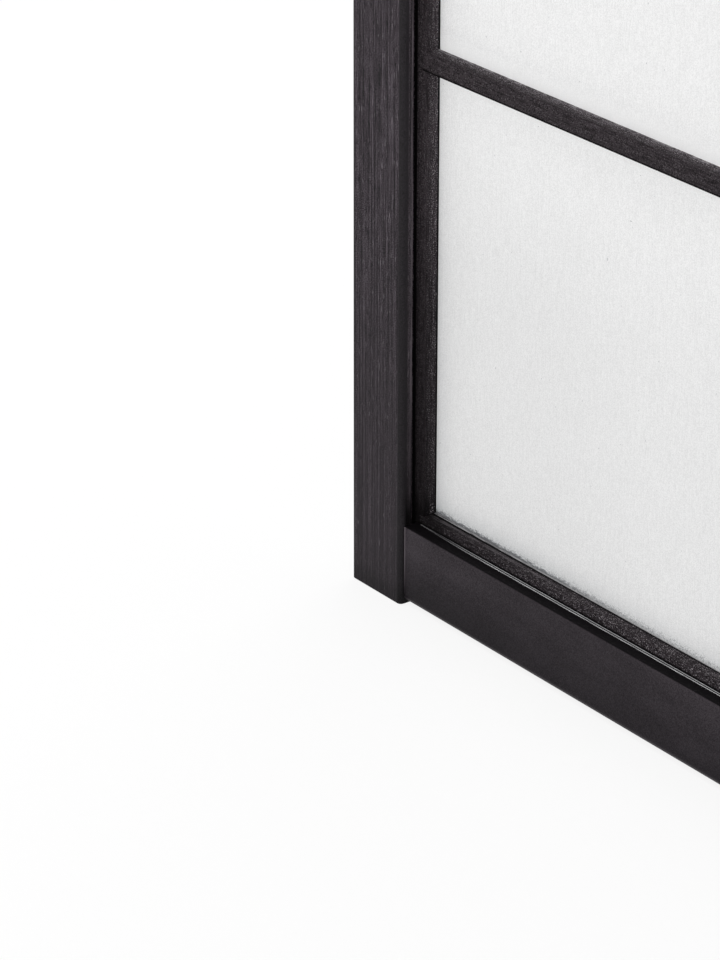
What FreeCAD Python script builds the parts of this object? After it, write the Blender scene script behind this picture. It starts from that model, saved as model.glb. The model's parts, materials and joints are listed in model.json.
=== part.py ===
"""Folding screen of three paper panels in dark wooden frames, joined by butt hinges.

Lengths are in millimetres and angles in degrees. Each piece is drawn in its panel's own axes:
X along the panel from its left edge, Y from the front face to the back, Z up from the floor.
The finished pieces are then turned into the screen's zigzag, with the origin on the floor
under the middle panel's centre, +X along the screen and -Y towards the front.
"""
import FreeCAD
import Part

import os

# Screen and panels
panel_height = 1750.0
panel_width = 400.0
zigzag_angle = 35.0     # turn of each panel out of the screen's straight line
panel_gap = 2.0         # between two stiles when their panels are in line

# Stiles
stile_width = 40.0
stile_depth = 25.0
stile_edge_radius = 2.5
stile_end_radius = 0.6
groove_front = 6.5      # wood in front of the stile's groove

# Rails
rail_height = 41.5
rail_lift = 1.0         # rails stay off the floor, so the screen stands on its stiles
rail_set_back = 2.5     # from both faces of the stiles
rail_outer_radius = 4.5
rail_inner_radius = 1.0
tenon_length = 28.0
tenon_thickness = 9.0
tenon_height = 26.0
tenon_shoulder = 8.0    # from the rail's outer edge to its tenon
tenon_clearance = 0.1
mortise_relief = 1.0    # past the tenon's end

# Lattice and paper
lattice_rows = 7
lattice_set_back = 10.6  # from the stile's front to the lattice's front
lattice_depth = 8.0
strip_width = 9.0
strip_reveal = 4.6      # part of an outer strip that shows beside the frame
bar_height = 9.6
strip_edge_radius = 0.2
housing_depth = 3.0     # bars and end strips are let into the side strips
housing_clearance = 0.1
groove_clearance = 0.3  # around a strip's outer edge in its groove
groove_side_clearance = 0.2
paper_thickness = 0.4
paper_inset = 1.0       # from the lattice's outline to the paper's edge

# Hinges
hinge_inset = 250.0     # from a stile's end to the nearer hinge's middle
leaf_height = 75.0
leaf_reach = 19.0       # from the stile's face to the leaf's far edge
leaf_thickness = 1.8
leaf_corner_radius = 2.0
leaf_bed_clearance = 0.1
knuckle_count = 5
knuckle_radius = 3.5
knuckle_gap = 0.3       # along the pin, between two knuckles
knuckle_clearance = 0.4  # around a knuckle, to the other leaf
knuckle_stand_off = 0.7  # between a knuckle and the stile's face
pin_radius = 1.75
pin_clearance = 0.05
pin_cap_radius = 2.9
pin_cap_height = 1.6
pin_cap_rounding = 0.9

# Screws
screws_per_leaf = 3
screw_spacing = 25.0
screw_length = 18.0
screw_shank_radius = 1.6
screw_head_radius = 3.2
screw_tip_length = 3.0
screw_clearance = 0.1
driver_slot_length = 3.6
driver_slot_width = 0.7
driver_slot_depth = 0.8

past_face = 1.0         # cutters run this far past the faces that they open
same_place = 0.001      # edges and faces closer than this lie at one place

# Sizes that follow from those above
bar_count = lattice_rows - 1
rail_top = rail_lift + rail_height
strip_tuck = strip_width - strip_reveal
stile_groove_depth = strip_tuck + groove_clearance
lattice_back = lattice_set_back + lattice_depth
groove_back = lattice_back + paper_thickness + groove_side_clearance
lattice_bottom = rail_top - strip_tuck
lattice_side = stile_width - strip_tuck
knuckle_length = (leaf_height - (knuckle_count - 1) * knuckle_gap) / knuckle_count
axis_offset = knuckle_radius + knuckle_stand_off    # from the stile's face to the hinge's axis
screw_head_height = screw_head_radius - screw_shank_radius

X_AXIS = FreeCAD.Vector(1, 0, 0)
Z_AXIS = FreeCAD.Vector(0, 0, 1)
SIDES = ("left", "right")
ENDS = ("bottom", "top")


def across(side, distance):
    """X at a distance from the panel's outer edge on one side."""
    return distance if side == "left" else panel_width - distance


def along(end, distance):
    """Z at a distance from the panel's bottom or top."""
    return distance if end == "bottom" else panel_height - distance


def inward(face, distance):
    """Y at a distance from the panel's front or back face, into the panel."""
    return distance if face == "front" else stile_depth - distance


def block(xs, ys, zs):
    """Box between two limits on each axis, given in either order."""
    low = FreeCAD.Vector(min(xs), min(ys), min(zs))
    high = FreeCAD.Vector(max(xs), max(ys), max(zs))
    size = high - low
    return Part.makeBox(size.x, size.y, size.z, low)


def edges_along(shape, axis):
    """Straight edges of a shape that run along an axis."""
    return [edge for edge in shape.Edges if abs(edge.tangentAt(edge.FirstParameter).dot(axis)) > 0.999]


def edges_at_height(shape, z):
    """Edges of a shape that run along the panel at one height."""
    return [edge for edge in edges_along(shape, X_AXIS) if abs(edge.CenterOfMass.z - z) < same_place]


def face_at_height(shape, z):
    """Level face of a shape at one height."""
    return next(face for face in shape.Faces
                if abs(face.BoundBox.ZMin - z) < same_place and abs(face.BoundBox.ZMax - z) < same_place)


def hinge_heights():
    """Heights of the middles of the lower and the upper hinge."""
    return {"lower": hinge_inset, "upper": panel_height - hinge_inset}


def axis_point(side, face):
    """Hinge axis beside a panel, as the panel sees it."""
    return FreeCAD.Vector(across(side, -panel_gap / 2), inward(face, -axis_offset), 0)


# Panel frame
def tenon(side, end, clearance, length):
    """Tenon on one end of a rail, or with a clearance the mortise that takes it."""
    start = rail_lift + tenon_shoulder
    middle = stile_depth / 2
    half_thickness = tenon_thickness / 2 + clearance
    return block(
        (across(side, stile_width - length), across(side, stile_width + past_face)),
        (middle - half_thickness, middle + half_thickness),
        (along(end, start - clearance), along(end, start + tenon_height + clearance)),
    )


def stile(side, hinged_face):
    """Upright with eased edges, lattice groove, mortises and, on a hinged face, the beds of the leaves."""
    wood = block((across(side, 0), across(side, stile_width)), (0, stile_depth), (0, panel_height))
    wood = wood.makeFillet(stile_edge_radius, edges_along(wood, Z_AXIS))
    for end in ENDS:
        wood = wood.makeFillet(stile_end_radius, face_at_height(wood, along(end, 0)).Edges)
    groove_end = lattice_bottom - groove_clearance
    cutters = [block(
        (across(side, stile_width - stile_groove_depth), across(side, stile_width + past_face)),
        (groove_front, groove_back),
        (along("bottom", groove_end), along("top", groove_end)),
    )]
    for end in ENDS:
        cutters.append(tenon(side, end, tenon_clearance, tenon_length + mortise_relief))
    if hinged_face:
        for height in hinge_heights().values():
            cutters += leaf_bed(side, hinged_face, height)
    return wood.cut(cutters)


def leaf_bed(side, face, height):
    """Recess for one hinge leaf in a stile's edge, and the pilot holes of its screws."""
    half_height = leaf_height / 2 + leaf_bed_clearance
    bed = block(
        (across(side, -past_face), across(side, leaf_thickness)),
        (inward(face, -past_face), inward(face, leaf_reach + leaf_bed_clearance)),
        (height - half_height, height + half_height),
    )
    holes = [screw_hole(side, face, z, screw_length + past_face) for z in screw_heights(height)]
    return [bed] + holes


def rail(end):
    """Cross member with a rounded outer edge, a groove for the lattice and a tenon at each end."""
    wood = block(
        (across("left", stile_width), across("right", stile_width)),
        (inward("front", rail_set_back), inward("back", rail_set_back)),
        (along(end, rail_lift), along(end, rail_top)),
    )
    wood = wood.makeFillet(rail_outer_radius, edges_at_height(wood, along(end, rail_lift)))
    wood = wood.makeFillet(rail_inner_radius, edges_at_height(wood, along(end, rail_top)))
    groove = block(
        (across("left", stile_width - past_face), across("right", stile_width - past_face)),
        (lattice_set_back - groove_side_clearance, groove_back),
        (along(end, lattice_bottom - groove_clearance), along(end, rail_top + past_face)),
    )
    tenons = [tenon(side, end, 0, tenon_length) for side in SIDES]
    return wood.cut(groove).fuse(tenons)


# Lattice and paper
def cross_strip_spans():
    """Lower and upper height of each cross strip, by its name in the lattice."""
    clear_bottom = lattice_bottom + strip_width
    clear_height = panel_height - 2 * clear_bottom
    row_height = (clear_height - bar_count * bar_height) / lattice_rows
    spans = {
        "bottom_strip": (along("bottom", lattice_bottom), along("bottom", clear_bottom)),
        "top_strip": (along("top", clear_bottom), along("top", lattice_bottom)),
    }
    for number in range(1, bar_count + 1):
        low = clear_bottom + number * row_height + (number - 1) * bar_height
        spans[f"bar_{number}"] = (low, low + bar_height)
    return spans


def eased_strip(xs, zs, axis):
    """Lattice strip that runs along an axis, with its long edges eased."""
    strip = block(xs, (lattice_set_back, lattice_back), zs)
    return strip.makeFillet(strip_edge_radius, edges_along(strip, axis))


def side_strip(side):
    """Upright strip of the lattice with a housing for the end of each cross strip."""
    inner_edge = lattice_side + strip_width
    strip = eased_strip(
        (across(side, lattice_side), across(side, inner_edge)),
        (along("bottom", lattice_bottom), along("top", lattice_bottom)),
        Z_AXIS,
    )
    housings = []
    for low, high in cross_strip_spans().values():
        housings.append(block(
            (across(side, inner_edge - housing_depth), across(side, inner_edge + past_face)),
            (lattice_set_back - past_face, lattice_back + past_face),
            (low - housing_clearance, high + housing_clearance),
        ))
    return strip.cut(housings)


def cross_strip(low, high):
    """Horizontal bar or end strip of the lattice, let into both side strips."""
    end = lattice_side + strip_width - housing_depth + housing_clearance
    return eased_strip((across("left", end), across("right", end)), (low, high), X_AXIS)


def paper():
    """Sheet glued to the back of the lattice."""
    edge = lattice_side + paper_inset
    sheet_end = lattice_bottom + paper_inset
    return block(
        (across("left", edge), across("right", edge)),
        (lattice_back, lattice_back + paper_thickness),
        (along("bottom", sheet_end), along("top", sheet_end)),
    )


# Hinges and screws
def screw_heights(height):
    """Heights of the screws in a leaf whose middle is at a height."""
    first = height - screw_spacing * (screws_per_leaf - 1) / 2
    return [first + number * screw_spacing for number in range(screws_per_leaf)]


def screw_line(face):
    """Y of the line of screws along the middle of a leaf."""
    return inward(face, leaf_reach / 2)


def screw_seat(side, face, z):
    """Middle of a screw's head on the outside of its leaf, and the way that the screw points."""
    point = FreeCAD.Vector(across(side, 0), screw_line(face), z)
    return point, X_AXIS if side == "left" else -X_AXIS


def screw_hole(side, face, z, length):
    """Round hole for a screw's shank, from the leaf's outside inwards."""
    point, way = screw_seat(side, face, z)
    return Part.makeCylinder(screw_shank_radius + screw_clearance, length, point, way)


def screw_head(side, face, z):
    """Countersunk head of a screw, flush with its leaf."""
    point, way = screw_seat(side, face, z)
    return Part.makeCone(screw_head_radius, screw_shank_radius, screw_head_height, point, way)


def screw(side, face, z):
    """Countersunk wood screw with a cross slot."""
    point, way = screw_seat(side, face, z)
    body_end = screw_length - screw_tip_length
    shank_start = point + way * screw_head_height
    shank = Part.makeCylinder(screw_shank_radius, body_end - screw_head_height, shank_start, way)
    tip = Part.makeCone(screw_shank_radius, 0, screw_tip_length, point + way * body_end, way)
    metal = screw_head(side, face, z).fuse([shank, tip])
    half_length = driver_slot_length / 2
    half_width = driver_slot_width / 2
    slots = []
    for half_y, half_z in ((half_length, half_width), (half_width, half_length)):
        slots.append(block(
            (across(side, -past_face), across(side, driver_slot_depth)),
            (point.y - half_y, point.y + half_y),
            (z - half_z, z + half_z),
        ))
    return metal.cut(slots)


def knuckle_bottom(height, number):
    """Lower end of one knuckle of a hinge."""
    return height - leaf_height / 2 + number * (knuckle_length + knuckle_gap)


def hinge_leaf(side, face, height, own_knuckles):
    """Leaf that lies in its stile's bed and carries its share of the knuckles."""
    axis = axis_point(side, face)
    plate_xs = (across(side, 0), across(side, leaf_thickness))
    notch_edge = inward(face, -(knuckle_stand_off - knuckle_clearance))
    far_edge = inward(face, leaf_reach)
    leaf = block(plate_xs, (far_edge, notch_edge), (height - leaf_height / 2, height + leaf_height / 2))
    edges = edges_along(leaf, X_AXIS)
    far_corners = [edge for edge in edges if abs(edge.CenterOfMass.y - far_edge) < same_place]
    leaf = leaf.makeFillet(leaf_corner_radius, far_corners)
    for number in own_knuckles:
        low = knuckle_bottom(height, number)
        tongue = block(plate_xs, (screw_line(face), axis.y), (low, low + knuckle_length))
        barrel = Part.makeCylinder(knuckle_radius, knuckle_length, FreeCAD.Vector(axis.x, axis.y, low))
        leaf = leaf.fuse([tongue, barrel])
    foot = FreeCAD.Vector(axis.x, axis.y, height - leaf_height / 2 - past_face)
    cutters = [Part.makeCylinder(pin_radius + pin_clearance, leaf_height + 2 * past_face, foot)]
    for z in screw_heights(height):
        cutters.append(screw_hole(side, face, z, leaf_thickness + past_face))
        cutters.append(screw_head(side, face, z))
    return leaf.cut(cutters).removeSplitter()


def hinge_pin(side, face, height):
    """Pin through all the knuckles of a hinge, with a rounded cap on each end."""
    axis = axis_point(side, face)
    foot = FreeCAD.Vector(axis.x, axis.y, height - leaf_height / 2)
    pin = Part.makeCylinder(pin_radius, leaf_height, foot)
    caps = []
    for start, way in ((foot, -Z_AXIS), (foot + Z_AXIS * leaf_height, Z_AXIS)):
        cap = Part.makeCylinder(pin_cap_radius, pin_cap_height, start, way)
        rim = max(cap.Edges, key=lambda edge: edge.CenterOfMass.sub(start).dot(way))
        caps.append(cap.makeFillet(pin_cap_rounding, [rim]))
    return pin.fuse(caps).removeSplitter()


# Screen: the middle panel carries the hinge pins, and each side panel hangs on one of its edges
def middle_place():
    """Middle panel, turned about its own centre, which stands over the origin."""
    centre = FreeCAD.Vector(panel_width / 2, stile_depth / 2, 0)
    turn = FreeCAD.Placement(FreeCAD.Vector(), FreeCAD.Rotation(Z_AXIS, zigzag_angle))
    return turn.multiply(FreeCAD.Placement(-centre, FreeCAD.Rotation()))


def side_place(side, face):
    """Side panel, turned back about the hinge axis on one side of the middle panel."""
    other_side = "right" if side == "left" else "left"
    pivot = FreeCAD.Placement(axis_point(side, face), FreeCAD.Rotation(Z_AXIS, -2 * zigzag_angle))
    step_back = FreeCAD.Placement(-axis_point(other_side, face), FreeCAD.Rotation())
    return middle_place().multiply(pivot).multiply(step_back)


def save(node, place, solids):
    """Write one node, a single solid or a group of separate ones, in the screen's axes."""
    shape = solids[0] if len(solids) == 1 else Part.makeCompound(solids)
    shape.Placement = place
    shape.exportStep(f"parts/{node}.step")


def single_solid(shape):
    """The one solid that a boolean result holds."""
    return shape.Solids[0]


def save_panel(panel, place, hinged_faces):
    """Frame, lattice, paper and hinge screws of one panel."""
    for side in SIDES:
        save(f"{panel}_{side}_stile", place, [single_solid(stile(side, hinged_faces.get(side)))])
        save(f"{panel}_lattice_{side}_strip", place, [single_solid(side_strip(side))])
    for end in ENDS:
        save(f"{panel}_{end}_rail", place, [single_solid(rail(end))])
    for name, span in cross_strip_spans().items():
        save(f"{panel}_lattice_{name}", place, [single_solid(cross_strip(*span))])
    save(f"{panel}_paper", place, [paper()])
    screws = []
    for side, face in hinged_faces.items():
        for height in hinge_heights().values():
            screws += [single_solid(screw(side, face, z)) for z in screw_heights(height)]
    save(f"{panel}_hinge_screws", place, screws)


def save_hinges(fold, face, panel_places):
    """Leaves and pins of the hinges on one fold, given the panel place beside each leaf."""
    outer_knuckles = range(0, knuckle_count, 2)
    inner_knuckles = range(1, knuckle_count, 2)
    middle_leaf = "right" if fold == "left" else "left"
    for level, height in hinge_heights().items():
        for leaf in SIDES:
            stile_side = "right" if leaf == "left" else "left"
            knuckles = outer_knuckles if leaf == middle_leaf else inner_knuckles
            metal = hinge_leaf(stile_side, face, height, knuckles)
            save(f"{fold}_fold_{level}_hinge_{leaf}_leaf", panel_places[leaf], [single_solid(metal)])
        pin = single_solid(hinge_pin(fold, face, height))
        save(f"{fold}_fold_{level}_hinge_pin", panel_places[middle_leaf], [pin])


def main():
    os.makedirs("parts", exist_ok=True)
    # The left fold closes backwards and the right fold forwards
    fold_faces = {"left": "back", "right": "front"}
    middle = middle_place()
    left = side_place("left", fold_faces["left"])
    right = side_place("right", fold_faces["right"])
    save_panel("left_panel", left, {"right": fold_faces["left"]})
    save_panel("middle_panel", middle, fold_faces)
    save_panel("right_panel", right, {"left": fold_faces["right"]})
    save_hinges("left", fold_faces["left"], {"left": left, "right": middle})
    save_hinges("right", fold_faces["right"], {"left": middle, "right": right})
    for fold, face in fold_faces.items():
        point = middle.multVec(axis_point(fold, face))
        print(f"{fold} fold axis at x {point.x:.4f}, y {point.y:.4f} mm")


main()
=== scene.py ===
"""Looks of the folding screen: stained wood, paper and brass, with its floor, light and camera.

Lengths are in metres. Each panel has its own axes: X along the panel from its left edge,
Y from its front face to its back, Z up from the floor.
"""

import json
import math

import bmesh
import bpy
from mathutils import Matrix, Vector, noise


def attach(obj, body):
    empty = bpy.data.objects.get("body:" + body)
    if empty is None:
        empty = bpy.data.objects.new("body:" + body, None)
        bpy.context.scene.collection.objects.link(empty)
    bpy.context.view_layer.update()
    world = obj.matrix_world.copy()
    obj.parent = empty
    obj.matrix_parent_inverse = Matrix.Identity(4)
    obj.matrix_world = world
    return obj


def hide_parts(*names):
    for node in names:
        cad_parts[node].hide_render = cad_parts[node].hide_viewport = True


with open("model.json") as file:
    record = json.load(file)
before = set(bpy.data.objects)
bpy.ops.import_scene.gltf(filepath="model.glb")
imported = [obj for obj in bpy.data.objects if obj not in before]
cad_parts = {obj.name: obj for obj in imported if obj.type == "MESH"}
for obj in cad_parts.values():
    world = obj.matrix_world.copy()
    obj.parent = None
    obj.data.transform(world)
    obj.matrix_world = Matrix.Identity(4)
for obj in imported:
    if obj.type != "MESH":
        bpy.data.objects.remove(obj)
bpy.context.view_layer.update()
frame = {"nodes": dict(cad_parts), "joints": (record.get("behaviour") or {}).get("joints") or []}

# Sizes of the panels, as in the solids
PANEL_WIDTH = 0.400
PANEL_HEIGHT = 1.750
STILE_WIDTH = 0.040
STILE_DEPTH = 0.025
STILE_EDGE_RADIUS = 0.0025
GROOVE_FRONT = 0.0065
RAIL_TOP = 0.0425
LATTICE_FRONT = 0.0106
LATTICE_BACK = 0.0186
LATTICE_SIDE = 0.0356
LATTICE_BOTTOM = 0.0381
STRIP_WIDTH = 0.009
BAR_HEIGHT = 0.0096
LATTICE_ROWS = 7
OPEN_SIDE = LATTICE_SIDE + STRIP_WIDTH        # from the panel's side to the open paper
OPEN_BOTTOM = LATTICE_BOTTOM + STRIP_WIDTH    # from the panel's foot to the open paper
ZIGZAG_ANGLE = math.radians(35)
HINGE_SIDE_OFFSET = 0.001    # from a panel's edge to the hinge axis
HINGE_FACE_OFFSET = 0.0042   # from a panel's face to the hinge axis

# The paper's sheet and its trimmed edge on a rail
PAPER_INSET = 0.001          # from the lattice's outline to the sheet's edge
PAPER_GLUE = 0.00005         # from the lattice's back to the sheet
PAPER_SLACK = 0.00015        # furthest that the sheet hangs off its plane
PAPER_THROUGH = 0.2          # share of the light that goes through it
EDGE_START = OPEN_SIDE - 0.001   # from the panel's side
EDGE_BACK = LATTICE_FRONT - 0.0004
EDGE_WIDTH = 0.0019
EDGE_THICKNESS = 0.00012
EDGE_CLEARANCE = 0.00003     # above the rail
EDGE_TAPER = 0.035           # length over which it widens from its start
EDGE_START_SHARE = 0.3       # of its width, where it starts

# Layout of the finishes
STILE_SHADE_BAND = 0.0038          # smooth band of painted shade round a stile's long edges
BAND_LIMIT = 0.0001          # length over which it ends
GROOVE_SHADE_EDGE = 0.0379   # from the panel's side, where the lattice comes out of the stile's shade
SPECKLE = (0.00045, 0.00045, 0.00045)   # pitch of the finest texture, on wood and paper alike
BLACK = (0.0, 0.0, 0.0, 1.0)
WHITE = (1.0, 1.0, 1.0, 1.0)

# Light and floor
LAMP_SPREAD = math.radians(55)
LAMPS = (("front_lamp", -5, 20, 1.45), ("back_lamp", 175, 20, 1.1), ("top_lamp", 0, 90, 1.2))
SKY_LIGHT = 0.5              # strength of the world where it lights the screen
SKY_SHOWN = 1.0              # and where it is seen
FLOOR_HALF_SIZE = 40
FLOOR_COLOUR = (0.9, 0.9, 0.9, 1.0)
FLOOR_WHITE_SHARE = 0.85     # of the seen floor that is plain white

SIDES = ("left", "right")
ENDS = ("bottom", "top")
PANELS = ("left_panel", "middle_panel", "right_panel")


def panel_places():
    """Place of each panel's own axes in the screen."""
    folds = {joint["name"]: Vector(joint["pos_m"]) for joint in frame["joints"]}
    forward = Matrix.Rotation(ZIGZAG_ANGLE, 4, "Z")
    backward = Matrix.Rotation(-ZIGZAG_ANGLE, 4, "Z")
    middle_centre = Vector((PANEL_WIDTH / 2, STILE_DEPTH / 2, 0))
    left_axis = Vector((PANEL_WIDTH + HINGE_SIDE_OFFSET, STILE_DEPTH + HINGE_FACE_OFFSET, 0))
    right_axis = Vector((-HINGE_SIDE_OFFSET, -HINGE_FACE_OFFSET, 0))
    return {
        "left_panel": Matrix.Translation(folds["left_fold"]) @ backward @ Matrix.Translation(-left_axis),
        "middle_panel": forward @ Matrix.Translation(-middle_centre),
        "right_panel": Matrix.Translation(folds["right_fold"]) @ backward @ Matrix.Translation(-right_axis),
    }


PLACES = panel_places()


# Node helpers
def tone(red, green, blue):
    """Linear colour from the 0 to 255 values of a screen colour."""
    def linear(value):
        value /= 255
        return value / 12.92 if value <= 0.04045 else ((value + 0.055) / 1.055) ** 2.4
    return (linear(red), linear(green), linear(blue), 1.0)


def add(tree, kind, inputs=None, **settings):
    """Add a node. An input takes a plain value or the output of another node."""
    node = tree.nodes.new(kind)
    for name, value in settings.items():
        setattr(node, name, value)
    for name, value in (inputs or {}).items():
        if isinstance(value, bpy.types.NodeSocket):
            tree.links.new(value, node.inputs[name])
        else:
            node.inputs[name].default_value = value
    return node


def calc(tree, operation, *values):
    """Result of a sum on numbers or node outputs."""
    return add(tree, "ShaderNodeMath", dict(enumerate(values)), operation=operation).outputs[0]


def times(tree, first, second):
    """Product of two fields, or of a field and a number."""
    return calc(tree, "MULTIPLY", first, second)


def blend_of(tree, *shares):
    """Weighted sum of fields, given as (weight, field) pairs."""
    total = times(tree, shares[0][1], shares[0][0])
    for weight, field in shares[1:]:
        total = calc(tree, "MULTIPLY_ADD", field, weight, total)
    return total


def smooth_step(tree, value, start, end):
    """0 before start and 1 after end, or the other way round where start is the larger."""
    inputs = {"Value": value, "From Min": start, "From Max": end}
    return add(tree, "ShaderNodeMapRange", inputs, interpolation_type="SMOOTHSTEP").outputs["Result"]


def spread(tree, value, low, high):
    """A field from 0 to 1 laid out between two values."""
    inputs = {"Value": value, "To Min": low, "To Max": high}
    return add(tree, "ShaderNodeMapRange", inputs).outputs["Result"]


def grain(tree, point, pitch, detail=2.0):
    """Noise with features of a given length along each of the panel's axes."""
    scale = [1 / length for length in pitch]
    scaled = add(tree, "ShaderNodeVectorMath", {0: point, 1: scale}, operation="MULTIPLY").outputs[0]
    inputs = {"Vector": scaled, "Scale": 1.0, "Detail": detail}
    return add(tree, "ShaderNodeTexNoise", inputs).outputs["Fac"]


def ramp(tree, field, *stops):
    """Colours along a field, as (position, colour) stops in rising order."""
    node = add(tree, "ShaderNodeValToRGB", {"Fac": field})
    elements = node.color_ramp.elements
    while len(elements) < len(stops):
        elements.new(0.5)
    for element, (position, colour) in zip(elements, stops):
        element.position = position
        element.color = colour
    return node.outputs["Color"]


def mix_colour(tree, field, first, second):
    """First colour where the field is 0, second where it is 1."""
    return add(tree, "ShaderNodeMix", {0: field, 6: first, 7: second}, data_type="RGBA").outputs[2]


def relief(tree, height, depth, strength):
    """Shading normal of a rough surface."""
    inputs = {"Height": height, "Distance": depth, "Strength": strength}
    return add(tree, "ShaderNodeBump", inputs).outputs["Normal"]


def new_material(name):
    """Material with an empty node tree."""
    material = bpy.data.materials.new(name)
    material.use_nodes = True
    material.node_tree.nodes.clear()
    return material


def surface(material, shader):
    """Send a shader to the material's output."""
    add(material.node_tree, "ShaderNodeOutputMaterial", {"Surface": shader})
    return material


def panel_point(tree, panel):
    """Texture coordinates in a panel's own axes."""
    place = PLACES[panel]
    inputs = {
        "Vector": add(tree, "ShaderNodeTexCoord").outputs["Object"],
        "Location": place.translation,
        "Rotation": place.to_euler(),
    }
    return add(tree, "ShaderNodeMapping", inputs, vector_type="TEXTURE").outputs["Vector"]


def begin_finish(name, panel):
    """New material, its node tree, and its texture coordinates in a panel's axes."""
    material = new_material(f"{name}_{panel}")
    tree = material.node_tree
    return material, tree, panel_point(tree, panel)


# Places on a panel
def panel_axes(tree, point):
    """The three coordinates of a point, one by one."""
    return add(tree, "ShaderNodeSeparateXYZ", {0: point}).outputs


def from_middle(tree, coordinate, middle):
    """Distance of a coordinate from a middle value."""
    return calc(tree, "ABSOLUTE", calc(tree, "SUBTRACT", coordinate, middle))


def from_side(tree, x):
    """Distance from the nearer side edge of the panel."""
    return calc(tree, "SUBTRACT", PANEL_WIDTH / 2, from_middle(tree, x, PANEL_WIDTH / 2))


def from_end(tree, z):
    """Distance from the nearer of the panel's bottom and top."""
    return calc(tree, "SUBTRACT", PANEL_HEIGHT / 2, from_middle(tree, z, PANEL_HEIGHT / 2))


def cross_heights():
    """Middle height of each bar from the bottom up; the first and last lie in the end strips."""
    first = OPEN_BOTTOM - BAR_HEIGHT / 2
    step = (PANEL_HEIGHT - 2 * first) / LATTICE_ROWS
    return [first + number * step for number in range(LATTICE_ROWS + 1)]


def above_bar(tree, z):
    """Height above the middle of the nearest bar or end strip, negative below it."""
    first, second = cross_heights()[:2]
    half_step = (second - first) / 2
    return calc(tree, "WRAP", calc(tree, "SUBTRACT", z, first), half_step, -half_step)


def lattice_depth(tree, y):
    """0 on the front of the lattice and 1 on its back."""
    inputs = {"Value": y, "From Min": LATTICE_FRONT, "From Max": LATTICE_BACK}
    return add(tree, "ShaderNodeMapRange", inputs).outputs["Result"]


def left_and_ends_field(tree, x, to_side, along, at_ends):
    """1 along a panel's left part and at both ends, fading to 0."""
    return calc(tree, "MAXIMUM", smooth_step(tree, x, *along), smooth_step(tree, to_side, *at_ends))


# Wood of the frame
def foot_shade(tree, height):
    """Painted shade: how much the wood is darkened towards the panel's ends."""
    return blend_of(
        tree,
        (0.26, smooth_step(tree, height, 0.250, 0.080)),
        (0.10, smooth_step(tree, height, 0.040, 0.012)),
        (0.30, smooth_step(tree, height, 0.014, 0.003)),
    )


def corner_shade(tree, height):
    """Painted shade: how much the wood is darkened in the corners above the rails."""
    above = calc(tree, "SUBTRACT", height, RAIL_TOP)
    return blend_of(
        tree,
        (0.3, smooth_step(tree, above, 0.045, 0.020)),
        (0.6, smooth_step(tree, above, 0.020, 0.005)),
    )


def stile_grain(tree, point, height, fibres, speckle):
    """Open vertical grain with dark and pale pores, calmer towards the panel's ends."""
    streaks = grain(tree, point, (0.0012, 0.0012, 0.100), detail=0.0)
    pores = grain(tree, point, (0.0006, 0.0006, 0.006), detail=1.0)
    figure = blend_of(tree, (0.20, streaks), (0.14, fibres), (0.66, speckle))
    dark, middle, pale = tone(4, 2, 4), tone(41, 35, 40), tone(84, 77, 83)
    colour = ramp(tree, figure, (0.425, dark), (0.50, middle), (0.575, pale))
    colour = mix_colour(tree, smooth_step(tree, pores, 0.40, 0.32), colour, tone(14, 12, 14))
    colour = mix_colour(tree, smooth_step(tree, pores, 0.66, 0.74), colour, tone(110, 104, 109))
    calm = times(tree, smooth_step(tree, height, 0.22, 0.02), 0.45)
    return mix_colour(tree, calm, colour, tone(53, 47, 52))


def stile_edge_shade(tree, colour, to_side, y, speckle):
    """Painted shade: a smooth darker band along a stile's rounded long edges."""
    half_width, half_depth = STILE_WIDTH / 2, STILE_DEPTH / 2
    off_axis = from_middle(tree, to_side, half_width)
    off_middle = from_middle(tree, y, half_depth)
    near_side = smooth_step(tree, off_axis, half_width - 0.0028, half_width - STILE_EDGE_RADIUS)
    near_face = smooth_step(tree, off_middle, half_depth - STILE_SHADE_BAND - BAND_LIMIT, half_depth - STILE_SHADE_BAND)
    # painted shade: darker, smoother band on the rounded edges
    edge_shade_tone = ramp(tree, speckle, (0.35, tone(26, 24, 26)), (0.65, tone(44, 41, 44)))
    return mix_colour(tree, times(tree, near_side, near_face), colour, edge_shade_tone)


def stile_inner_face(tree, colour, point, to_side, y, height):
    """Painted light, an evener and paler tone, on the face towards the paper; a pale arris at the groove,
    partly wear and partly a painted highlight; and painted shade in the corners.
    """
    inner = smooth_step(tree, to_side, STILE_WIDTH - 0.002, STILE_WIDTH - 0.001)
    lit_face = times(tree, inner, smooth_step(tree, y, STILE_SHADE_BAND - BAND_LIMIT, STILE_SHADE_BAND + BAND_LIMIT))
    # painted light: the face towards the paper evener and a little paler
    colour = mix_colour(tree, times(tree, lit_face, 0.35), colour, tone(55, 50, 53))
    from_groove = calc(tree, "SUBTRACT", GROOVE_FRONT, y)
    # pale groove arris: partly wear, partly a painted highlight
    arris_wear_and_highlight = times(tree, smooth_step(tree, from_groove, 0.0012, 0.0006), inner)
    wear_and_glint_noise = grain(tree, point, (0.0010, 0.0010, 0.050), detail=0.0)
    wear_and_glint = spread(tree, smooth_step(tree, wear_and_glint_noise, 0.45, 0.65), 0.2, 0.9)
    colour = mix_colour(tree, times(tree, arris_wear_and_highlight, wear_and_glint), colour, tone(96, 89, 94))
    # painted shade in the corners above the rails
    behind_shade_band = times(tree, inner, smooth_step(tree, y, STILE_EDGE_RADIUS, STILE_SHADE_BAND))
    return mix_colour(tree, times(tree, behind_shade_band, corner_shade(tree, height)), colour, BLACK)


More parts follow.
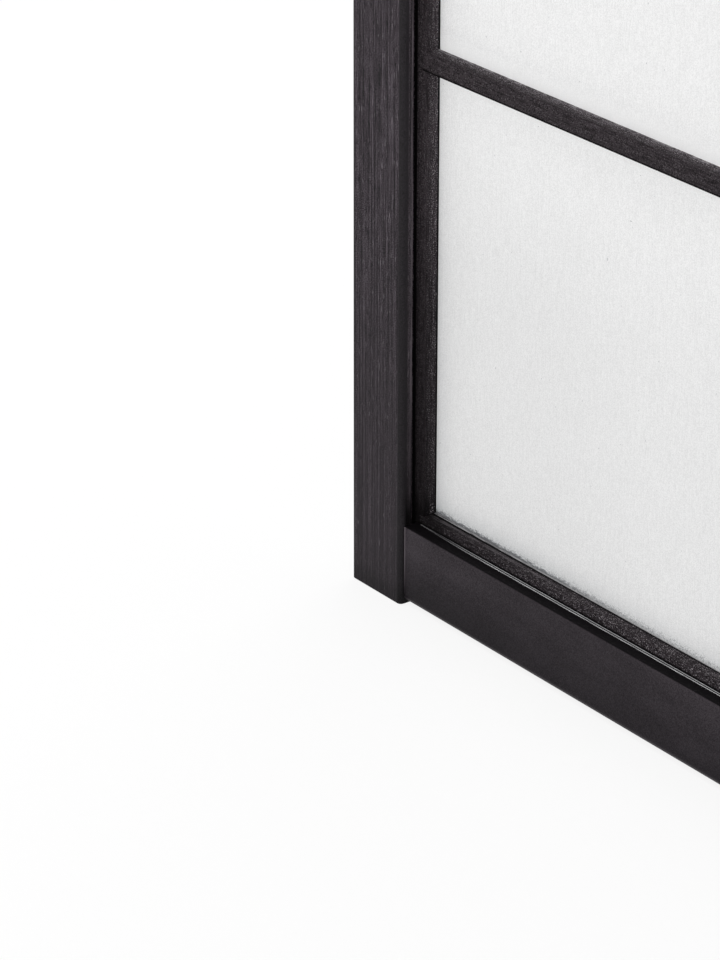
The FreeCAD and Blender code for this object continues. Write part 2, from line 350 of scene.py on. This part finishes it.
def stile_wood(panel):
    """Dark stained upright with open vertical grain, smooth edges darkened by painted shade, and a pale
    groove arris that is partly wear and partly a painted highlight; painted shade darkens it towards its
    ends and in the corners.
    """
    material, tree, point = begin_finish("stile_wood", panel)
    x, y, z = panel_axes(tree, point)
    to_side = from_side(tree, x)
    height = from_end(tree, z)
    fibres = grain(tree, point, (0.0009, 0.0009, 0.012), detail=0.0)
    speckle = grain(tree, point, SPECKLE)
    colour = stile_grain(tree, point, height, fibres, speckle)
    colour = stile_edge_shade(tree, colour, to_side, y, speckle)
    colour = stile_inner_face(tree, colour, point, to_side, y, height)
    # painted shade towards the panel's ends
    colour = mix_colour(tree, foot_shade(tree, height), colour, BLACK)
    shader = add(tree, "ShaderNodeBsdfPrincipled", {
        "Base Color": colour,
        "Roughness": spread(tree, fibres, 0.42, 0.66),
        "Specular IOR Level": 0.08,
        "Normal": relief(tree, fibres, 0.0003, 0.25),
    })
    return surface(material, shader.outputs[0])


def rail_stain_and_shade(tree, x, to_side, height, cloud, speckle):
    """Clouded stain, with painted shade darker towards the outer edge and its corners, and painted light a
    little paler by the stiles.
    """
    figure = blend_of(tree, (0.25, cloud), (0.75, speckle))
    # lit upper and shaded lower copies of the stain: painted shade towards the outer edge
    upper = ramp(tree, figure, (0.36, tone(31, 26, 30)), (0.64, tone(61, 56, 60)))
    lower = ramp(tree, figure, (0.36, tone(17, 13, 17)), (0.64, tone(43, 39, 43)))
    colour = mix_colour(tree, smooth_step(tree, height, -0.010, 0.050), lower, upper)
    # painted shade in the lower corners by the stiles; the broad patch is only darker
    low = smooth_step(tree, height, 0.030, -0.002)
    low_corner = times(tree, smooth_step(tree, to_side, 0.16, 0.08), low)
    patch = smooth_step(tree, from_middle(tree, x, 0.165), 0.10, 0.03)
    colour = mix_colour(tree, blend_of(tree, (0.46, low_corner), (0.16, patch)), colour, BLACK)
    # painted light: a little paler by the stiles
    high = smooth_step(tree, height, -0.005, 0.035)
    lit_by_stile = times(tree, smooth_step(tree, to_side, 0.065, 0.042), high)
    return mix_colour(tree, times(tree, lit_by_stile, 0.14), colour, tone(80, 74, 79))


def rail_highlights(tree, colour, to_side, height):
    """Painted highlights: a pale line on the rounded outer edge, and a pale line where the rail meets the
    stile.
    """
    # painted highlight on the rounded outer edge
    edge_highlight = smooth_step(tree, height, 0.0046, 0.0038)
    colour = mix_colour(tree, times(tree, edge_highlight, 0.4), colour, tone(72, 66, 70))
    # painted highlight where the rail meets the stile
    end_highlight = smooth_step(tree, to_side, STILE_WIDTH + 0.0011, STILE_WIDTH + 0.0006)
    end_highlight = times(tree, end_highlight, smooth_step(tree, height, 0.004, 0.030))
    return mix_colour(tree, end_highlight, colour, tone(90, 84, 88))


def rail_wood(panel):
    """Smooth dark rail with a satin coat, painted shade darker towards its outer edge, and painted shade
    black on its lip.
    """
    material, tree, point = begin_finish("rail_wood", panel)
    x, _, z = panel_axes(tree, point)
    to_side = from_side(tree, x)
    height = from_end(tree, z)
    cloud = grain(tree, point, (0.040, 0.020, 0.012))
    speckle = grain(tree, point, SPECKLE)
    colour = rail_stain_and_shade(tree, x, to_side, height, cloud, speckle)
    colour = rail_highlights(tree, colour, to_side, height)
    # painted shade: the top lip black, with no coat
    shaded_lip = smooth_step(tree, height, RAIL_TOP - 0.0006, RAIL_TOP - 0.0004)
    colour = mix_colour(tree, shaded_lip, colour, tone(14, 12, 14))
    shader = add(tree, "ShaderNodeBsdfPrincipled", {
        "Base Color": colour,
        "Roughness": spread(tree, cloud, 0.40, 0.55),
        "Specular IOR Level": 0.03,
        "Coat Weight": spread(tree, shaded_lip, 0.06, 0.0),
        "Coat Roughness": 0.3,
        "Normal": relief(tree, speckle, 0.0001, 0.08),
    })
    return surface(material, shader.outputs[0])


# Wood of the lattice
def rough_wood(tree, colour, fleck_share, fibres, speckle):
    """Dark fibres, saw marks and pale flecks over a strip's colour."""
    furrows = times(tree, smooth_step(tree, fibres, 0.50, 0.30), 0.6)
    colour = mix_colour(tree, furrows, colour, tone(16, 13, 15))
    colour = mix_colour(tree, smooth_step(tree, speckle, 0.47, 0.39), colour, tone(13, 11, 12))
    rough = blend_of(tree, (0.2, fibres), (0.8, speckle))
    flecks = times(tree, smooth_step(tree, rough, 0.58, 0.66), spread(tree, fleck_share, 0.1, 1.0))
    return mix_colour(tree, flecks, colour, tone(205, 199, 203))


def lattice_shader(tree, colour, fibres, speckle):
    """Dull rough surface of a lattice strip."""
    return add(tree, "ShaderNodeBsdfPrincipled", {
        "Base Color": colour,
        "Roughness": spread(tree, speckle, 0.6, 0.85),
        "Specular IOR Level": 0.05,
        "Normal": relief(tree, blend_of(tree, (0.5, fibres), (0.5, speckle)), 0.0004, 0.4),
    }).outputs[0]


def corner_shreds(tree, colour, point, height, depth):
    """Pale shreds of paper on a side strip, just above the end strip."""
    above = calc(tree, "SUBTRACT", height, OPEN_BOTTOM)
    place = times(tree, smooth_step(tree, above, 0.006, 0.004), smooth_step(tree, depth, 0.45, 0.60))
    shreds = smooth_step(tree, grain(tree, point, (0.0014, 0.0014, 0.0014)), 0.54, 0.60)
    return mix_colour(tree, times(tree, place, shreds), colour, tone(120, 115, 118))


def side_strip_wood(panel):
    """Side strip of the lattice, paler towards the paper by painted light, with painted shade black where
    it stands in the stile's groove and beside the paper, and darker low down, towards its ends and in the
    corners by painted shade.
    """
    material, tree, point = begin_finish("side_strip_wood", panel)
    x, y, z = panel_axes(tree, point)
    height = from_end(tree, z)
    depth = lattice_depth(tree, y)
    fibres = grain(tree, point, (0.0007, 0.0007, 0.012))
    speckle = grain(tree, point, SPECKLE)
    # painted light: paler towards the paper
    colour = ramp(tree, depth, (0.15, tone(52, 47, 50)), (0.90, tone(71, 65, 69)))
    colour = rough_wood(tree, colour, depth, fibres, speckle)
    # painted shade: darker low down, in the corners above the rail and towards the panel's ends
    low_down = times(tree, smooth_step(tree, height, 0.22, 0.15), 0.24)
    corner_shadow = times(tree, corner_shade(tree, height), spread(tree, depth, 0.8, 0.35))
    at_foot = times(tree, foot_shade(tree, height), 1.35)
    for shade in (low_down, corner_shadow, at_foot):
        colour = mix_colour(tree, shade, colour, BLACK)
    colour = corner_shreds(tree, colour, point, height, depth)
    # painted shade: black in the stile's groove and beside the paper
    groove_shadow = smooth_step(tree, from_side(tree, x), GROOVE_SHADE_EDGE, GROOVE_SHADE_EDGE - 0.0003)
    paper_contact_shadow = smooth_step(tree, depth, 0.84, 0.89)
    colour = mix_colour(tree, calc(tree, "MAXIMUM", groove_shadow, paper_contact_shadow), colour, tone(8, 7, 8))
    return surface(material, lattice_shader(tree, colour, fibres, speckle))


def end_strip_smear(tree, colour, to_side, depth, lines):
    """Pale smear of glue on the strip's top, towards its ends."""
    on_top = smooth_step(tree, from_middle(tree, depth, 0.5), 0.20, 0.05)
    past_corner = smooth_step(tree, to_side, 0.0445, 0.050)
    near_corner = times(tree, past_corner, smooth_step(tree, to_side, 0.16, 0.12))
    smear = times(tree, times(tree, on_top, near_corner), smooth_step(tree, lines, 0.35, 0.65))
    return mix_colour(tree, times(tree, smear, 0.5), colour, tone(110, 105, 108))


def end_strip_glue(tree, colour, left_and_ends, depth, lines, speckle):
    """Whitened line where the paper is glued, with a painted shadow of a crack in front of it."""
    ragged = calc(tree, "SUBTRACT", speckle, 0.5)
    glue_start = calc(tree, "MULTIPLY_ADD", ragged, 0.04, spread(tree, left_and_ends, 0.90, 0.82))
    to_glue = calc(tree, "SUBTRACT", glue_start, depth)
    # painted shadow of a crack in front of the glue
    crack_shadow = times(tree, smooth_step(tree, to_glue, 0.22, 0.13), spread(tree, left_and_ends, 0.85, 1.0))
    colour = mix_colour(tree, crack_shadow, colour, tone(5, 4, 5))
    streaked = ramp(tree, lines, (0.40, tone(72, 71, 73)), (0.60, tone(176, 175, 177)))
    glue = mix_colour(tree, left_and_ends, tone(170, 169, 170), streaked)
    return mix_colour(tree, smooth_step(tree, to_glue, 0.01, -0.01), colour, glue)


def end_strip_wood(panel):
    """End strip of the lattice, with a painted shadow at its foot and painted shade in the corners, darker
    along its left part and at its ends, whitened where the paper is glued.
    """
    material, tree, point = begin_finish("end_strip_wood", panel)
    x, y, z = panel_axes(tree, point)
    to_side = from_side(tree, x)
    depth = lattice_depth(tree, y)
    left_and_ends = left_and_ends_field(tree, x, to_side, along=(0.19, 0.06), at_ends=(0.09, 0.06))
    fibres = grain(tree, point, (0.0030, 0.0007, 0.0007))
    lines = grain(tree, point, (0.008, 0.0004, 0.0004))
    speckle = grain(tree, point, SPECKLE)
    colour = ramp(tree, depth, (0.05, tone(51, 46, 49)), (0.60, tone(54, 49, 52)))
    colour = mix_colour(tree, times(tree, left_and_ends, 0.4), colour, tone(24, 21, 23))
    fleck_share = times(tree, calc(tree, "MAXIMUM", depth, 0.5), spread(tree, left_and_ends, 1.0, 0.2))
    colour = rough_wood(tree, colour, fleck_share, fibres, speckle)
    # painted shade in the corners
    corner_shadow = times(tree, smooth_step(tree, to_side, 0.072, 0.055), 0.6)
    colour = mix_colour(tree, corner_shadow, colour, BLACK)
    colour = end_strip_smear(tree, colour, to_side, depth, lines)
    # painted shadow at the strip's foot
    foot = smooth_step(tree, from_end(tree, z), RAIL_TOP + 0.0014, RAIL_TOP + 0.0008)
    colour = mix_colour(tree, foot, colour, tone(9, 8, 9))
    colour = end_strip_glue(tree, colour, left_and_ends, depth, lines, speckle)
    return surface(material, lattice_shader(tree, colour, fibres, speckle))


def bar_wood(panel):
    """Bar of the lattice, paler on top by painted light, with paper fuzz along its back, and a painted
    shadow along its lower edge.
    """
    material, tree, point = begin_finish("bar_wood", panel)
    _, y, z = panel_axes(tree, point)
    depth = lattice_depth(tree, y)
    fibres = grain(tree, point, (0.012, 0.0007, 0.0007))
    speckle = grain(tree, point, SPECKLE)
    shreds = grain(tree, point, (0.004, 0.0012, 0.0012))
    # painted light: paler on the top, darker on the front
    front, edge, back = tone(53, 48, 51), tone(58, 53, 56), tone(94, 88, 92)
    colour = ramp(tree, depth, (0.05, front), (0.20, edge), (0.95, back))
    colour = rough_wood(tree, colour, depth, fibres, speckle)
    fuzz = times(tree, smooth_step(tree, shreds, 0.54, 0.64), smooth_step(tree, depth, 0.65, 0.95))
    colour = mix_colour(tree, times(tree, fuzz, 0.7), colour, tone(160, 158, 160))
    # painted shadow along the lower edge
    lower_edge_shadow = smooth_step(tree, above_bar(tree, z), 0.0012 - BAR_HEIGHT / 2, 0.0007 - BAR_HEIGHT / 2)
    colour = mix_colour(tree, lower_edge_shadow, colour, tone(8, 7, 8))
    return surface(material, lattice_shader(tree, colour, fibres, speckle))


# Paper
def paper_shade(tree, colour, height, above, beside, left_and_ends):
    """Painted shade: greyer towards the panel's ends, and a cooler grey beside the strips."""
    left_and_ends_share = spread(tree, left_and_ends, 0.6, 1.15)
    # painted shade towards the panel's ends
    low = times(tree, smooth_step(tree, height, 0.28, 0.16), 0.15)
    colour = mix_colour(tree, times(tree, low, left_and_ends_share), colour, tone(150, 150, 150))
    low_share = spread(tree, smooth_step(tree, height, 0.24, 0.04), 0.4, 1.5)
    # painted shade beside the strips
    by_wood = blend_of(
        tree,
        (0.25, times(tree, smooth_step(tree, above, 0.014, -0.002), left_and_ends_share)),
        (0.11, times(tree, smooth_step(tree, beside, 0.016, -0.004), low_share)),
    )
    return mix_colour(tree, by_wood, colour, tone(143, 150, 154))


def paper_on_wood(tree, colour, z, above, beside):
    """Painted light, whiter round the bars, and painted shade, grey where a bar or strip lies against the
    sheet.
    """
    off_bar = calc(tree, "ABSOLUTE", above_bar(tree, z))
    # painted light: whiter round the bars
    lit_round_bars = times(tree, smooth_step(tree, off_bar, 0.016, 0.004), smooth_step(tree, above, 0.02, 0.04))
    colour = mix_colour(tree, times(tree, lit_round_bars, 0.8), colour, tone(248, 248, 248))
    off_strip = calc(tree, "MINIMUM", above, beside)
    off_wood = calc(tree, "MINIMUM", off_strip, calc(tree, "SUBTRACT", off_bar, BAR_HEIGHT / 2))
    # painted shade where wood lies behind the sheet
    wood_shadow = times(tree, smooth_step(tree, off_wood, 0.0001, -0.0018), 0.5)
    return mix_colour(tree, wood_shadow, colour, tone(149, 150, 151))


def paper_glue_line(tree, colour, point, above, left_and_ends, speckle):
    """Ragged grey glue line along the end strips, with dark dots round it."""
    ragged = calc(tree, "SUBTRACT", grain(tree, point, (0.0018, 0.0018, 0.0009)), 0.5)
    above_line = calc(tree, "MULTIPLY_ADD", ragged, 0.0045, above)
    glue = times(tree, smooth_step(tree, above_line, 0.0023, 0.0005), spread(tree, left_and_ends, 0.25, 1.0))
    colour = mix_colour(tree, glue, colour, tone(113, 114, 116))
    dots = times(tree, smooth_step(tree, speckle, 0.46, 0.38), smooth_step(tree, above, 0.0050, 0.0005))
    return mix_colour(tree, times(tree, dots, 0.7), colour, tone(96, 102, 106))


def paper_finish(panel):
    """White fibre paper that lets some light through, with a ragged grey glue line along its end strips."""
    material, tree, point = begin_finish("paper", panel)
    x, _, z = panel_axes(tree, point)
    to_side = from_side(tree, x)
    height = from_end(tree, z)
    above = calc(tree, "SUBTRACT", height, OPEN_BOTTOM)
    beside = calc(tree, "SUBTRACT", to_side, OPEN_SIDE)
    left_and_ends = left_and_ends_field(tree, x, to_side, along=(0.24, 0.10), at_ends=(0.10, 0.05))
    fibres = grain(tree, point, (0.0005, 0.0005, 0.006), detail=1.0)
    clouds = grain(tree, point, (0.012, 0.012, 0.020), detail=3.0)
    specks = grain(tree, point, (0.0015, 0.0015, 0.0015), detail=0.0)
    speckle = grain(tree, point, SPECKLE)
    figure = blend_of(tree, (0.22, fibres), (0.05, clouds), (0.73, speckle))
    colour = ramp(tree, figure, (0.36, tone(217, 217, 217)), (0.64, tone(238, 238, 238)))
    colour = paper_shade(tree, colour, height, above, beside, left_and_ends)
    colour = paper_on_wood(tree, colour, z, above, beside)
    colour = paper_glue_line(tree, colour, point, above, left_and_ends, speckle)
    colour = mix_colour(tree, smooth_step(tree, specks, 0.90, 0.93), colour, tone(170, 170, 174))
    front = add(tree, "ShaderNodeBsdfPrincipled", {
        "Base Color": colour,
        "Roughness": 0.85,
        "Specular IOR Level": 0.1,
        "Normal": relief(tree, figure, 0.0001, 0.2),
    })
    through = add(tree, "ShaderNodeBsdfTranslucent", {"Color": colour})
    shaders = {0: PAPER_THROUGH, 1: front.outputs[0], 2: through.outputs[0]}
    return surface(material, add(tree, "ShaderNodeMixShader", shaders).outputs[0])


def edge_crease_shade(tree, to_side, y):
    """1 along the painted shade of a crease in the middle of the paper's edge, once it is wide enough for
    one.
    """
    from_start = calc(tree, "DIVIDE", calc(tree, "SUBTRACT", to_side, EDGE_START), EDGE_TAPER)
    half_width = spread(tree, from_start, EDGE_WIDTH / 2 * EDGE_START_SHARE, EDGE_WIDTH / 2)
    from_back = calc(tree, "SUBTRACT", y, EDGE_BACK)
    from_crease = calc(tree, "ABSOLUTE", calc(tree, "ADD", from_back, half_width))
    crease_shade = smooth_step(tree, from_crease, 0.0006, 0.0003)
    return times(tree, crease_shade, smooth_step(tree, to_side, 0.050, 0.060))


def paper_edge_finish(panel):
    """Trimmed edge of the paper, with painted shade along a crease in its middle and painted shade
    darkening it near the stiles.
    """
    material, tree, point = begin_finish("paper_edge", panel)
    x, y, _ = panel_axes(tree, point)
    to_side = from_side(tree, x)
    lines = grain(tree, point, (0.010, 0.0005, 0.0005))
    speckle = grain(tree, point, SPECKLE)
    figure = blend_of(tree, (0.6, lines), (0.4, speckle))
    colour = ramp(tree, figure, (0.35, tone(150, 149, 152)), (0.65, tone(214, 214, 216)))
    # painted shade in the crease
    colour = mix_colour(tree, edge_crease_shade(tree, to_side, y), colour, tone(20, 19, 21))
    # painted shade near the stiles
    shaded_by_stile = times(tree, smooth_step(tree, to_side, 0.11, 0.05), 0.8)
    colour = mix_colour(tree, shaded_by_stile, colour, tone(44, 42, 45))
    shader = add(tree, "ShaderNodeBsdfPrincipled", {
        "Base Color": colour,
        "Roughness": 0.8,
        "Specular IOR Level": 0.2,
        "Normal": relief(tree, figure, 0.0001, 0.3),
    })
    return surface(material, shader.outputs[0])


# Brass
def brass(panel, name, low, high):
    """Satin antique brass, brushed along the leaf and darker in patches."""
    material, tree, point = begin_finish(name, panel)
    brushing = grain(tree, point, (0.0004, 0.0004, 0.012))
    patina = grain(tree, point, (0.006, 0.006, 0.009), detail=4.0)
    figure = blend_of(tree, (0.35, brushing), (0.65, patina))
    shader = add(tree, "ShaderNodeBsdfPrincipled", {
        "Base Color": ramp(tree, figure, (0.35, low), (0.65, high)),
        "Metallic": 1.0,
        "Roughness": spread(tree, figure, 0.45, 0.25),
        "Normal": relief(tree, brushing, 0.0001, 0.15),
    })
    return surface(material, shader.outputs[0])


# Pieces
def mesh_piece(name, bm, panel, material):
    """Piece from a mesh that is drawn in a panel's axes; it rides on that panel."""
    bm.transform(PLACES[panel])
    bmesh.ops.recalc_face_normals(bm, faces=bm.faces)
    mesh = bpy.data.meshes.new(name)
    bm.to_mesh(mesh)
    bm.free()
    mesh.materials.append(material)
    piece = bpy.data.objects.new(name, mesh)
    bpy.context.scene.collection.objects.link(piece)
    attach(piece, panel)
    return piece


def paper_sheet(panel, material):
    """Paper glued to the back of the lattice, a hair slack between the strips."""
    left = LATTICE_SIDE + PAPER_INSET
    bottom = LATTICE_BOTTOM + PAPER_INSET
    width = PANEL_WIDTH - 2 * left
    height = PANEL_HEIGHT - 2 * bottom
    columns, rows = 26, 126
    waves_along, waves_up = 14, 9    # swells of the sheet in a metre
    heights = cross_heights()
    row_step = heights[1] - heights[0]
    seed = PANELS.index(panel)
    bm = bmesh.new()
    grid = []
    for row in range(rows + 1):
        z = bottom + height * row / rows
        between_bars = abs(math.sin(math.pi * (z - heights[0]) / row_step))
        line = []
        for column in range(columns + 1):
            x = left + width * column / columns
            between_sides = math.sin(math.pi * column / columns)
            swell = 0.5 + 0.5 * noise.noise((x * waves_along, z * waves_up, seed))
            y = LATTICE_BACK + PAPER_GLUE + PAPER_SLACK * between_sides * between_bars * swell
            line.append(bm.verts.new((x, y, z)))
        grid.append(line)
    for lower, upper in zip(grid, grid[1:]):
        for a, b, c, d in zip(lower, lower[1:], upper[1:], upper):
            bm.faces.new((a, b, c, d)).smooth = True
    piece = mesh_piece(f"{panel}_paper_sheet", bm, panel, material)
    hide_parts(f"{panel}_paper")
    return piece, (width, height)


def edge_section(x, length, seed):
    """Outline of the paper's edge at one place on a bottom rail, as (y, z) points."""
    foot = RAIL_TOP + EDGE_CLEARANCE
    wander = 0.12                         # share of the width that comes and goes
    wander_waves, curl_waves = 90, 40     # in a metre
    to_end = min(x - EDGE_START, EDGE_START + length - x)
    whole = min(1.0, EDGE_START_SHARE + (1 - EDGE_START_SHARE) * to_end / EDGE_TAPER)
    width = EDGE_WIDTH * whole * (1 + wander * noise.noise((x * wander_waves, seed, 0)))
    curl = EDGE_THICKNESS * (0.5 + 0.5 * noise.noise((x * curl_waves, seed, 3)))
    front, middle = EDGE_BACK - width, EDGE_BACK - width / 2
    return (
        (front, foot + curl), (middle, foot), (EDGE_BACK, foot),
        (EDGE_BACK, foot + EDGE_THICKNESS), (middle, foot + EDGE_THICKNESS),
        (front, foot + curl + EDGE_THICKNESS),
    )


def paper_edge(panel, end, material):
    """Edge of the paper that comes up between the rail and an end strip and lies on the rail."""
    length = PANEL_WIDTH - 2 * EDGE_START
    stations = 120
    seed = PANELS.index(panel) * 2 + ENDS.index(end)
    bm = bmesh.new()
    rings = []
    for number in range(stations + 1):
        x = EDGE_START + length * number / stations
        ring = []
        for y, z in edge_section(x, length, seed):
            ring.append(bm.verts.new((x, y, z if end == "bottom" else PANEL_HEIGHT - z)))
        rings.append(ring)
    for first, second in zip(rings, rings[1:]):
        for number in range(len(first)):
            after = (number + 1) % len(first)
            bm.faces.new((first[number], first[after], second[after], second[number]))
    bm.faces.new(rings[0])
    bm.faces.new(rings[-1])
    return mesh_piece(f"{panel}_paper_edge_{end}", bm, panel, material)


def dress(node, material):
    """Give a node of the frame its finish."""
    for slot in frame["nodes"][node].material_slots:
        slot.material = material


def dress_panel(panel):
    """Finishes and paper of one panel."""
    stile_finish = stile_wood(panel)
    rail_finish = rail_wood(panel)
    side_strip_finish = side_strip_wood(panel)
    end_strip_finish = end_strip_wood(panel)
    bar_finish = bar_wood(panel)
    screw_finish = brass(panel, "screw_brass", tone(126, 108, 76), tone(190, 170, 128))
    for side in SIDES:
        dress(f"{panel}_{side}_stile", stile_finish)
        dress(f"{panel}_lattice_{side}_strip", side_strip_finish)
    for end in ENDS:
        dress(f"{panel}_{end}_rail", rail_finish)
        dress(f"{panel}_lattice_{end}_strip", end_strip_finish)
    for number in range(1, LATTICE_ROWS):
        dress(f"{panel}_lattice_bar_{number}", bar_finish)
    dress(f"{panel}_hinge_screws", screw_finish)
    edge_finish = paper_edge_finish(panel)
    edges = [paper_edge(panel, end, edge_finish) for end in ENDS]
    sheet, flat = paper_sheet(panel, paper_finish(panel))


def dress_hinges():
    """Brass of the leaves and pins; a leaf's grain follows the panel that it is screwed to."""
    beside = {"left": ("left_panel", "middle_panel"), "right": ("middle_panel", "right_panel")}
    dark, bright = tone(104, 88, 60), tone(172, 150, 108)
    finishes = {panel: brass(panel, "hinge_brass", dark, bright) for panel in PANELS}
    for fold, panels in beside.items():
        for level in ("lower", "upper"):
            hinge = f"{fold}_fold_{level}_hinge"
            for side, panel in zip(SIDES, panels):
                dress(f"{hinge}_{side}_leaf", finishes[panel])
            dress(f"{hinge}_pin", finishes["middle_panel"])


# Floor, light and camera
def shown_rays(tree):
    """1 for rays that show the background: straight to the camera, mirrored or through glass."""
    path = add(tree, "ShaderNodeLightPath").outputs
    mirrored = calc(tree, "MAXIMUM", path["Is Glossy Ray"], path["Is Transmission Ray"])
    return calc(tree, "MAXIMUM", path["Is Camera Ray"], mirrored)


def make_floor():
    """Wide pale floor that shows nearly white and keeps a faint shadow."""
    bm = bmesh.new()
    bmesh.ops.create_grid(bm, x_segments=4, y_segments=4, size=FLOOR_HALF_SIZE)
    mesh = bpy.data.meshes.new("floor")
    bm.to_mesh(mesh)
    bm.free()
    material = new_material("floor")
    tree = material.node_tree
    matt = add(tree, "ShaderNodeBsdfDiffuse", {"Color": FLOOR_COLOUR})
    white = add(tree, "ShaderNodeEmission", {"Color": WHITE, "Strength": 1.0})
    share = times(tree, shown_rays(tree), FLOOR_WHITE_SHARE)
    both = add(tree, "ShaderNodeMixShader", {0: share, 1: matt.outputs[0], 2: white.outputs[0]})
    mesh.materials.append(surface(material, both.outputs[0]))
    floor = bpy.data.objects.new("floor", mesh)
    bpy.context.scene.collection.objects.link(floor)


def make_world():
    """Even white studio light, and a white background."""
    world = bpy.data.worlds.new("studio")
    world.use_nodes = True
    tree = world.node_tree
    tree.nodes.clear()
    strength = spread(tree, shown_rays(tree), SKY_LIGHT, SKY_SHOWN)
    background = add(tree, "ShaderNodeBackground", {"Color": WHITE, "Strength": strength})
    add(tree, "ShaderNodeOutputWorld", {"Surface": background.outputs[0]})
    bpy.context.scene.world = world


def make_lamp(name, azimuth, elevation, strength):
    """Wide soft light from one direction in degrees; azimuth 0 is in front of the screen."""
    light = bpy.data.lights.new(name, "SUN")
    light.angle = LAMP_SPREAD
    light.energy = strength
    lamp = bpy.data.objects.new(name, light)
    lamp.rotation_euler = (math.radians(90 - elevation), 0, math.radians(azimuth))
    bpy.context.scene.collection.objects.link(lamp)


def make_camera():
    """Camera at the photograph's angle on the left panel's lower outer corner."""
    azimuth, elevation = math.radians(18.538), math.radians(24.579)
    aim = Vector((-0.51382, 0.10053, 0.05580))
    distance = 1.97398
    level = math.cos(elevation)
    back = Vector((math.sin(azimuth) * level, -math.cos(azimuth) * level, math.sin(elevation)))
    data = bpy.data.cameras.new("camera")
    data.lens = 150
    data.sensor_width = 36
    data.clip_end = 200
    camera = bpy.data.objects.new("camera", data)
    camera.location = aim + back * distance
    camera.rotation_mode = "QUATERNION"
    camera.rotation_quaternion = (-back).to_track_quat("-Z", "Y")
    bpy.context.scene.collection.objects.link(camera)
    bpy.context.scene.camera = camera


for panel_name in PANELS:
    dress_panel(panel_name)
dress_hinges()
make_floor()
make_world()
for lamp_settings in LAMPS:
    make_lamp(*lamp_settings)
make_camera()
bpy.context.scene.view_settings.view_transform = "Standard"
